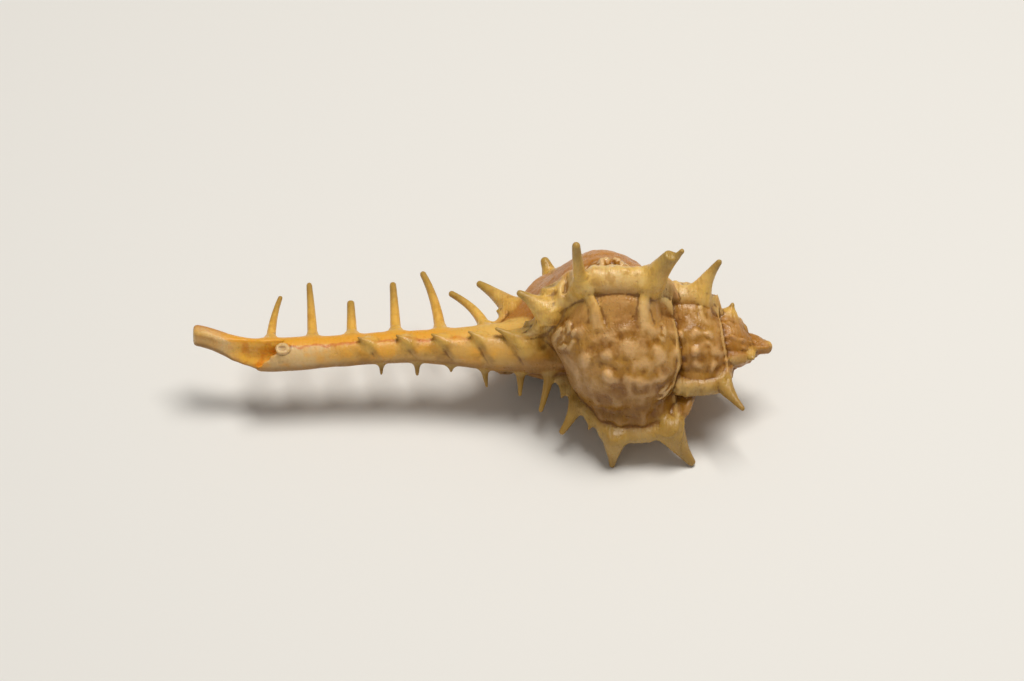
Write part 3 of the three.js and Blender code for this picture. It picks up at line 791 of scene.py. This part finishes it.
# Valley of the neck
# A curved valley parts the neck from the belly of the whorl. It starts below the front ridge, widens on
# the side that faces the front and runs out underneath.
VALLEY_LINE = ((13.4, 26), (12.9, 14), (13.2, 0), (14.6, -14), (16, -28))
VALLEY_WIDTHS = (0.9, 1.3, 1.5, 1.3, 0.8)
valley_line = [surface_point(growth_facing(side, x), x, 0.9) for x, side in VALLEY_LINE]
cut, where = block_round(np.array(valley_line), 4)
solid[cut] = larger(solid[cut], -rod(where, valley_line, VALLEY_WIDTHS), 1.2)

# Skin of the shell
# The filled voxels get a skin of small faces. It is worn flat where the shell stands on the table, and
# its two ends are rounded off inside the solid's box.
SHELL_FACES = 192000
END_ROUND = 1.1
END_GAP = 0.15
ends = np.maximum(solid_low[0] + END_GAP - xs, xs - solid_high[0] + END_GAP)
solid = larger(solid, ends[:, None, None].astype(np.float32), END_ROUND)
solid = np.maximum(solid, -zs[None, None, :])
field = openvdb.FloatGrid(1.0)
field.copyFromArray(np.clip(solid / VOXEL, -3, 3).astype(np.float32))
points, triangles, quads = field.convertToPolygons(isovalue=0, adaptivity=0)
points = points * VOXEL + grid_low
skin = bpy.data.meshes.new("shell_skin")
skin.from_pydata(points * 0.001, [], quads.tolist() + triangles.tolist())
skin.validate()
shell = bpy.data.objects.new("shell_surface", skin)
bpy.context.scene.collection.objects.link(shell)
thinning = shell.modifiers.new("fewer faces", "DECIMATE")
thinning.ratio = min(1, SHELL_FACES / (2 * len(skin.polygons)))
made = bpy.data.meshes.new_from_object(shell.evaluated_get(bpy.context.evaluated_depsgraph_get()))
shell.modifiers.clear()
shell.data = made
made.name = "shell_surface"
made.polygons.foreach_set("use_smooth", [True] * len(made.polygons))
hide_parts("shell")
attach(shell, "root")

# Marks on the skin
# Each corner of the skin is told what kind of shell it is: ridge, fold, canal, spine, seam, crust or
# mouth, how far along and round the whorls it lies, and whether it stands out from the shell round it.
# The material reads these marks.
MEAN_RADIUS = 19
corners = np.empty(len(made.vertices) * 3)
made.vertices.foreach_get("co", corners)
corners = corners.reshape(-1, 3) * 1000
facings = np.empty(len(made.vertices) * 3)
made.vertices.foreach_get("normal", facings)
facings = facings.reshape(-1, 3)
edges = np.empty(len(made.edges) * 2, dtype=np.int64)
made.edges.foreach_get("vertices", edges)
one_end, other_end = edges.reshape(-1, 2).T
neighbours = np.bincount(edges, minlength=len(corners))[:, None]


def levelled(values, rounds):
    """The values after they are averaged with their neighbours' again and again."""
    for _ in range(rounds):
        total = np.empty_like(values)
        for n in range(values.shape[1]):
            total[:, n] = np.bincount(one_end, values[other_end, n], len(values))
            total[:, n] += np.bincount(other_end, values[one_end, n], len(values))
        values = 0.5 * values + 0.5 * total / neighbours
    return values


def on_sheet(sheet, back, x):
    i = np.clip((x - xs[0]) / VOXEL, 0, len(xs) - 1.001)
    j = np.clip(back / BACK_STEP, 0, len(backs) - 1.001)
    i_low = i.astype(int)
    j_low = j.astype(int)
    i_part = i - i_low
    j_part = j - j_low
    before = sheet[j_low, i_low] * (1 - j_part) + sheet[j_low + 1, i_low] * j_part
    after = sheet[j_low, i_low + 1] * (1 - j_part) + sheet[j_low + 1, i_low + 1] * j_part
    return before * (1 - i_part) + after * i_part


def write_mark(name, values):
    kind = "FLOAT_VECTOR" if values.ndim == 2 else "FLOAT"
    layer = made.attributes.new(name, kind, "POINT")
    layer.data.foreach_set("vector" if values.ndim == 2 else "value", values.astype(np.float32).ravel())


corner_x = corners[:, 0]
middle_y, middle_z = canal_middle(corner_x)
corner_reach = np.hypot(corners[:, 1] - middle_y, corners[:, 2] - middle_z)
corner_turn = np.degrees(np.arctan2(corners[:, 2] - middle_z, middle_y - corners[:, 1]))
corner_back = (lip_growth(corner_x) - corner_turn - neck_twist(corner_x) - FRONT_GROWTH) % FULL_TURN
corner_growth = lip_growth(corner_x) - corner_back
gaps = [np.abs(corner_reach - turn_radius(corner_growth - FULL_TURN * n, corner_x)) for n in range(TURNS)]
turn_number = np.argmin(gaps, axis=0)
turn_growth = corner_growth - FULL_TURN * turn_number
turn_size = turn_scale(turn_growth)
turn_along = (corner_x - coil_middle(turn_size)) / turn_size
whorl_here = np.maximum(on_sheet(newest, corner_back, corner_x), on_sheet(older, corner_back, corner_x))
canal_here = eased(on_sheet(canal, corner_back, corner_x) - whorl_here, -0.8, 0.6)
turn_past = past_varix(turn_growth)
bare_skin = np.maximum(np.maximum(bare_newest, bare_older), canal_radius(x_grid))
skin_step = np.minimum(np.hypot(1, np.gradient(bare_skin, VOXEL, axis=1)), 3)
skin_length = np.cumsum(skin_step, axis=1) * VOXEL
length_here = on_sheet(skin_length, corner_back, corner_x)
arc_here = np.radians(turn_growth) * turn_size * MEAN_RADIUS
spine_here = np.zeros(len(corners))
spine_end_here = np.zeros(len(corners))
for line, widths in grown_spines:
    near = rod(corners.T, line, widths)
    from_end = np.linalg.norm(corners - line[-1], axis=1)
    length = np.linalg.norm(line[-1] - line[0])
    near_end = (1 - eased(near, 0.1, 0.9)) * (1 - eased(from_end, 0, 0.7 * length))
    spine_here = np.maximum(spine_here, 1 - eased(near, 0.1, 1.3))
    spine_end_here = np.maximum(spine_end_here, near_end)
voxel_here = np.round((corners - grid_low) / VOXEL).astype(int)
voxel_here = np.clip(voxel_here, 0, np.array(solid.shape) - 1)
hollow_here = hollow[tuple(voxel_here.T)]
cut_away = on_sheet(outer, corner_back, corner_x) - corner_reach
from_scar = np.linalg.norm(corners - scar_middle, axis=1)
write_mark("broken", eased(cut_away, 0.25, 0.8) * (corner_x < BREAK_X + 9))
write_mark("scar", 1 - eased(from_scar, 1.2, 1.6))
write_mark("lay", np.stack((arc_here, length_here, turn_number * 7.0), axis=1))
write_mark("ridge", varix_share(turn_growth, turn_along) * (1 - canal_here))
under_ridge = eased(turn_past, -36, -14) * (turn_past < 0) * (turn_growth > -200)
write_mark("under_ridge", under_ridge * (1 - canal_here))
write_mark("fold", fold_share(turn_growth, turn_along) * (1 - canal_here))
write_mark("seam", hill(turn_along - seam_place(turn_growth), 0, 0.5) * (1 - canal_here))
write_mark("shingle_shadow", shingle_shadow(corner_growth, corner_x) * canal_here)
write_mark("canal", canal_here)
write_mark("facing", facing(corner_growth, corner_x))
write_mark("spine", spine_here)
write_mark("spine_end", spine_end_here)
write_mark("mouth", 1 - eased(hollow_here, 0.2, 0.9))
write_mark("crust", crust_share(corner_growth, corner_x) * (turn_number == 0))
for name, rounds in (("fine_relief", 8), ("broad_relief", 60)):
    write_mark(name, np.einsum("ij,ij->i", corners - levelled(corners, rounds), facings))

# Colour, gloss and grain of the shell
# Limy shell, faintly see-through: tan brown on the whorls with paler worn lumps and golden hollows,
# creamy on the ridges, orange yellow along the canal, and grey olive at the spines' ends. Shade is
# painted in too: amber on the low belly and by the neck, olive gold on the low ledge and spines, brown
# on the canal's underside, golden brown in creases and olive beside the shingles' edges.
shell_finish = bpy.data.materials.new("old_limy_shell")
shell_finish.use_nodes = True
nodes = shell_finish.node_tree.nodes
links = shell_finish.node_tree.links
nodes.clear()


def feed(socket, value):
    if isinstance(value, bpy.types.NodeSocket):
        links.new(value, socket)
    else:
        socket.default_value = value


def add_node(kind, inputs, output=0, **settings):
    added = nodes.new(kind)
    for name, value in settings.items():
        setattr(added, name, value)
    for name, value in inputs.items():
        feed(added.inputs[name], value)
    return added.outputs[output]


def tint(red, green, blue):
    """A colour as a paint chart gives it, 0 to 255, turned into amounts of light."""
    return tuple(((part / 255 + 0.055) / 1.055) ** 2.4 for part in (red, green, blue)) + (1,)


def mark(name):
    """One of the marks on the skin's corners."""
    return add_node("ShaderNodeAttribute", {}, "Fac", attribute_name=name)


def over(share, below, above):
    """The colour below with a share of the colour above laid on it."""
    return add_node("ShaderNodeMix", {0: share, 6: below, 7: above}, 2, data_type="RGBA")


def combine(operation, first, second=0):
    return add_node("ShaderNodeMath", {0: first, 1: second}, operation=operation)


def times(first, second):
    return combine("MULTIPLY", first, second)


def between(value, low, high, start=0, end=1):
    """A soft step from start to end as the value goes from low to high."""
    inputs = {"Value": value, "From Min": low, "From Max": high, "To Min": start, "To Max": end}
    return add_node("ShaderNodeMapRange", inputs, interpolation_type="SMOOTHSTEP")


def mottle(size, detail=3, at=None, warp=0):
    """Soft cloudy noise with spots about size millimetres across."""
    inputs = {"Vector": at or spot, "Scale": 1 / size, "Detail": detail, "Distortion": warp}
    return add_node("ShaderNodeTexNoise", inputs, "Fac")


def scaled(vector, *scale):
    return add_node("ShaderNodeMapping", {"Vector": vector, "Scale": scale})


spot = scaled(add_node("ShaderNodeTexCoord", {}, "Object"), 1000, 1000, 1000)
lay = add_node("ShaderNodeAttribute", {}, "Vector", attribute_name="lay")

BODY_TAN = tint(182, 132, 52)
BODY_BROWN = tint(148, 96, 22)
BODY_PINK = tint(200, 148, 80)
WORN_LUMP = tint(228, 184, 126)
GOLDEN_HOLLOW_AND_CREASE_SHADE = tint(120, 72, 4)
RIDGE_CREAM = tint(230, 188, 100)
RIDGE_WHITE = tint(238, 208, 146)
RIDGE_OLIVE = tint(186, 138, 54)
DOME_PINK = tint(190, 120, 32)
BELLY_SHADE_AMBER = tint(134, 88, 0)
CANAL_YELLOW = tint(236, 168, 48)
CANAL_CREAM = tint(214, 166, 84)
CANAL_WHITE = tint(222, 186, 128)
CANAL_BROWN = tint(140, 92, 16)
CANAL_ORANGE = tint(206, 100, 16)
SHINGLE_SHADOW_OLIVE = tint(128, 92, 28)
SPINE_CREAM = tint(228, 184, 88)
SPINE_OLIVE = tint(142, 114, 52)
SEAM_CREAM = tint(222, 182, 112)
LEDGE_SHADE_GOLD = tint(158, 122, 54)
CRUST_WHITE = tint(222, 184, 126)
MOUTH_CREAM = tint(214, 190, 150)
APEX_ORANGE = tint(172, 112, 28)
TROUGH_YELLOW = tint(244, 186, 70)
TROUGH_GOLD = tint(230, 154, 36)


def where_x(low, high):
    """How far along the shell a place lies, from 0 at low to 1 at high, in millimetres."""
    return between(add_node("ShaderNodeSeparateXYZ", {"Vector": spot}, "X"), low, high)


cloud = mottle(6, 3)
colour = over(between(cloud, 0.38, 0.62), BODY_BROWN, BODY_TAN)
colour = over(between(mottle(3.5, 2), 0.5, 0.68, 0, 0.6), colour, BODY_PINK)
streaks = mottle(1.1, 4, scaled(lay, 0.5, 1.2, 1), 0.4)
colour = over(between(streaks, 0.5, 0.75, 0, 0.15), colour, WORN_LUMP)
colour = over(between(mark("broad_relief"), 0.03, 0.3, 0, 0.75), colour, WORN_LUMP)
colour = over(between(mark("broad_relief"), -0.02, -0.36, 0, 0.6), colour, GOLDEN_HOLLOW_AND_CREASE_SHADE)
# Painted shade: the belly's underside, which faces down and away from the lamp, is laid over with dark
# amber.
low_side_shade = times(between(mark("facing"), -16, -52), between(mark("facing"), -150, -100))
colour = over(times(mark("under_ridge"), 0.6), colour, BODY_PINK)
colour = over(times(low_side_shade, 0.72), colour, BELLY_SHADE_AMBER)
# Painted shade: dark amber where the belly drops steeply into the neck.
neck_shade = times(where_x(21, 15.5), between(mark("facing"), 34, 0))
colour = over(times(neck_shade, 0.45), colour, BELLY_SHADE_AMBER)
dome = times(between(mark("facing"), 50, 72), between(mark("facing"), 165, 150))
colour = over(times(times(dome, where_x(46, 40)), 0.7), colour, DOME_PINK)
cream = over(between(mottle(4.5, 3), 0.42, 0.62, 0, 0.8), RIDGE_CREAM, RIDGE_WHITE)
cream = over(between(mottle(2.4, 4), 0.5, 0.66, 0, 0.65), cream, RIDGE_OLIVE)
colour = over(times(mark("ridge"), 0.85), colour, cream)
colour = over(times(mark("fold"), 1.1), colour, cream)
colour = over(times(mark("seam"), 0.7), colour, SEAM_CREAM)
colour = over(times(where_x(44, 57), 0.75), colour, APEX_ORANGE)
front_tone = over(where_x(-36, -26), CANAL_WHITE, CANAL_CREAM)
front_tone = over(between(mottle(4, 3), 0.42, 0.62, 0, 0.6), front_tone, CANAL_YELLOW)
front_tone = over(between(mottle(5.5, 4), 0.5, 0.66, 0, 0.5), front_tone, CANAL_BROWN)
# Painted shade: the canal's downward-facing side is browner.
front_tone = over(between(mark("facing"), -30, -62, 0, 0.75), front_tone, CANAL_BROWN)
# Painted shadow in olive beside each shingle's front edge.
front_tone = over(times(mark("shingle_shadow"), 0.9), front_tone, SHINGLE_SHADOW_OLIVE)
neck_brown = times(where_x(3, 10), between(mark("facing"), 16, -6))
front_tone = over(times(neck_brown, 0.6), front_tone, CANAL_BROWN)
top_tone = over(times(where_x(-12, 2), 0.8), CANAL_YELLOW, RIDGE_CREAM)
canal_tone = over(between(mark("facing"), 24, 34), front_tone, top_tone)
seam_wave = combine("ADD", mark("facing"), between(mottle(3, 2), 0.3, 0.7, -7, 7))
from_seam = combine("ABSOLUTE", combine("SUBTRACT", seam_wave, 25))
seam_line = between(from_seam, 8, 2)
seam_line = times(seam_line, times(where_x(2, -10), where_x(-46, -43)))
canal_tone = over(times(seam_line, 0.6), canal_tone, CANAL_ORANGE)
colour = over(mark("canal"), colour, canal_tone)
spine_tone = over(between(mottle(2, 3), 0.45, 0.65, 0, 0.6), SPINE_CREAM, RIDGE_OLIVE)
colour = over(times(mark("spine"), 0.7), colour, spine_tone)
colour = over(times(mark("spine_end"), 0.65), colour, SPINE_OLIVE)
# Painted shade: the low ledge and the spines on the shell's underside are darkened to olive gold.
low_ledge_shade = times(combine("MAXIMUM", mark("ridge"), mark("spine")), low_side_shade)
colour = over(times(low_ledge_shade, 0.75), colour, LEDGE_SHADE_GOLD)
crust_spots = times(mark("crust"), between(mark("fine_relief"), -0.01, 0.05))
colour = over(times(crust_spots, 0.9), colour, CRUST_WHITE)
trough = over(between(mottle(2, 4), 0.46, 0.64), TROUGH_YELLOW, TROUGH_GOLD)
trough = over(where_x(-49, -55), trough, CANAL_WHITE)
colour = over(mark("broken"), colour, trough)
colour = over(mark("scar"), colour, CANAL_WHITE)
colour = over(mark("mouth"), colour, MOUTH_CREAM)
# Painted shade: small creases in the skin are darkened to golden brown, where shade would fall in them.
crease_shade = between(mark("fine_relief"), -0.01, -0.09, 0, 0.75)
crease_shade = times(crease_shade, between(mark("broken"), 1, 0))
colour = over(crease_shade, colour, GOLDEN_HOLLOW_AND_CREASE_SHADE)

THREAD_STEP = 0.85
THREAD_HEIGHT = 0.012
GROWTH_LINE_HEIGHT = 0.05
STREAK_HEIGHT = 0.1
GRAIN_HEIGHT = 0.14
PIT_DEPTH = 0.12
thread_way = add_node("ShaderNodeSeparateXYZ", {"Vector": lay}, "Y")
thread_way = combine("ADD", thread_way, between(mottle(2.5, 2), 0, 1, -0.4, 0.4))
thread = combine("SINE", times(thread_way, 2 * math.pi / THREAD_STEP))
growth_lines = mottle(0.5, 3, scaled(lay, 2.2, 0.25, 1), 0.3)
fine_streaks = mottle(0.6, 3, scaled(lay, 0.35, 1.6, 1), 0.5)
pits = between(mottle(0.45, 4), 0.62, 0.76)
height = times(thread, THREAD_HEIGHT)
height = combine("ADD", height, times(growth_lines, GROWTH_LINE_HEIGHT))
height = combine("ADD", height, times(fine_streaks, STREAK_HEIGHT))
height = combine("ADD", height, times(mottle(0.8, 4), GRAIN_HEIGHT))
height = combine("SUBTRACT", height, times(pits, PIT_DEPTH))
smooth_share = combine("MAXIMUM", mark("mouth"), times(mark("canal"), 0.35))
height = times(height, combine("SUBTRACT", 1, times(smooth_share, 0.85)))
grain = add_node("ShaderNodeBump", {"Height": height, "Distance": 0.001, "Strength": 1}, "Normal")
gloss = between(mottle(1.6, 4), 0.3, 0.7, 0.26, 0.52)
wet_look = combine("MAXIMUM", mark("broken"), mark("crust"))
gloss = combine("SUBTRACT", gloss, times(wet_look, 0.16))
surface = nodes.new("ShaderNodeBsdfPrincipled")
feed(surface.inputs["Base Color"], colour)
feed(surface.inputs["Roughness"], gloss)
feed(surface.inputs["Normal"], grain)
surface.inputs["Subsurface Weight"].default_value = 0.2
surface.inputs["Subsurface Radius"].default_value = (1, 0.55, 0.2)
surface.inputs["Subsurface Scale"].default_value = 0.0014
surface.inputs["Specular IOR Level"].default_value = 0.4
surface.inputs["Coat Weight"].default_value = 0.12
surface.inputs["Coat Roughness"].default_value = 0.2
result = nodes.new("ShaderNodeOutputMaterial")
links.new(surface.outputs["BSDF"], result.inputs["Surface"])
made.materials.append(shell_finish)

# Table, light and camera
# A pale matt table top, a soft lamp high above and a little behind, a weaker one in front, and a long
# lens that looks down at the shell by forty-five degrees. Sizes are metres here.
TABLE_HALF = 3
TABLE_GAP = 0.00005
VIEW_ALONG = 0.00599
VIEW_ABOVE = 0.00095
VIEW_CENTRE = Vector((VIEW_ALONG, AXIS_BACK * 0.001 + VIEW_ABOVE, AXIS_HEIGHT * 0.001 + VIEW_ABOVE))
VIEW_WIDTH = 0.2115
LENS = 180
SENSOR = 36
table_mesh = bpy.data.meshes.new("table_top")
quarters = ((-1, -1), (1, -1), (1, 1), (-1, 1))
table_corners = [(x * TABLE_HALF, y * TABLE_HALF, -TABLE_GAP) for x, y in quarters]
table_mesh.from_pydata(table_corners, [], [(0, 1, 2, 3)])
table = bpy.data.objects.new("table_top", table_mesh)
bpy.context.scene.collection.objects.link(table)
table_finish = bpy.data.materials.new("pale_table")
table_finish.use_nodes = True
table_surface = table_finish.node_tree.nodes["Principled BSDF"]
table_surface.inputs["Base Color"].default_value = tint(234, 234, 233)
table_surface.inputs["Roughness"].default_value = 0.75
table_mesh.materials.append(table_finish)

LAMPS = (
    dict(name="lamp_above", place=(0.15, 0.07, 0.87), size=0.4, power=6.6, warmth=(1, 0.955, 0.88)),
    dict(name="lamp_front", place=(-0.45, -0.8, 0.55), size=0.8, power=1.0, warmth=(1, 0.95, 0.88)),
)
for lamp in LAMPS:
    light = bpy.data.lights.new(lamp["name"], "AREA")
    light.size = lamp["size"]
    light.energy = lamp["power"]
    light.color = lamp["warmth"]
    holder = bpy.data.objects.new(lamp["name"], light)
    holder.location = lamp["place"]
    holder.rotation_euler = (VIEW_CENTRE - Vector(lamp["place"])).to_track_quat("-Z", "Y").to_euler()
    bpy.context.scene.collection.objects.link(holder)
bpy.context.scene.view_settings.view_transform = "Standard"
room = bpy.data.worlds.new("pale_room")
room.use_nodes = True
room.node_tree.nodes["Background"].inputs["Color"].default_value = (1, 0.96, 0.9, 1)
room.node_tree.nodes["Background"].inputs["Strength"].default_value = 0.2
bpy.context.scene.world = room

camera_data = bpy.data.cameras.new("camera")
camera_data.lens = LENS
camera_data.sensor_width = SENSOR
camera_data.clip_end = 10
camera = bpy.data.objects.new("camera", camera_data)
back_way = Vector((0, -1, 1)).normalized()
camera.location = VIEW_CENTRE + back_way * VIEW_WIDTH * LENS / SENSOR
camera.rotation_euler = (-back_way).to_track_quat("-Z", "Y").to_euler()
bpy.context.scene.collection.objects.link(camera)
bpy.context.scene.camera = camera
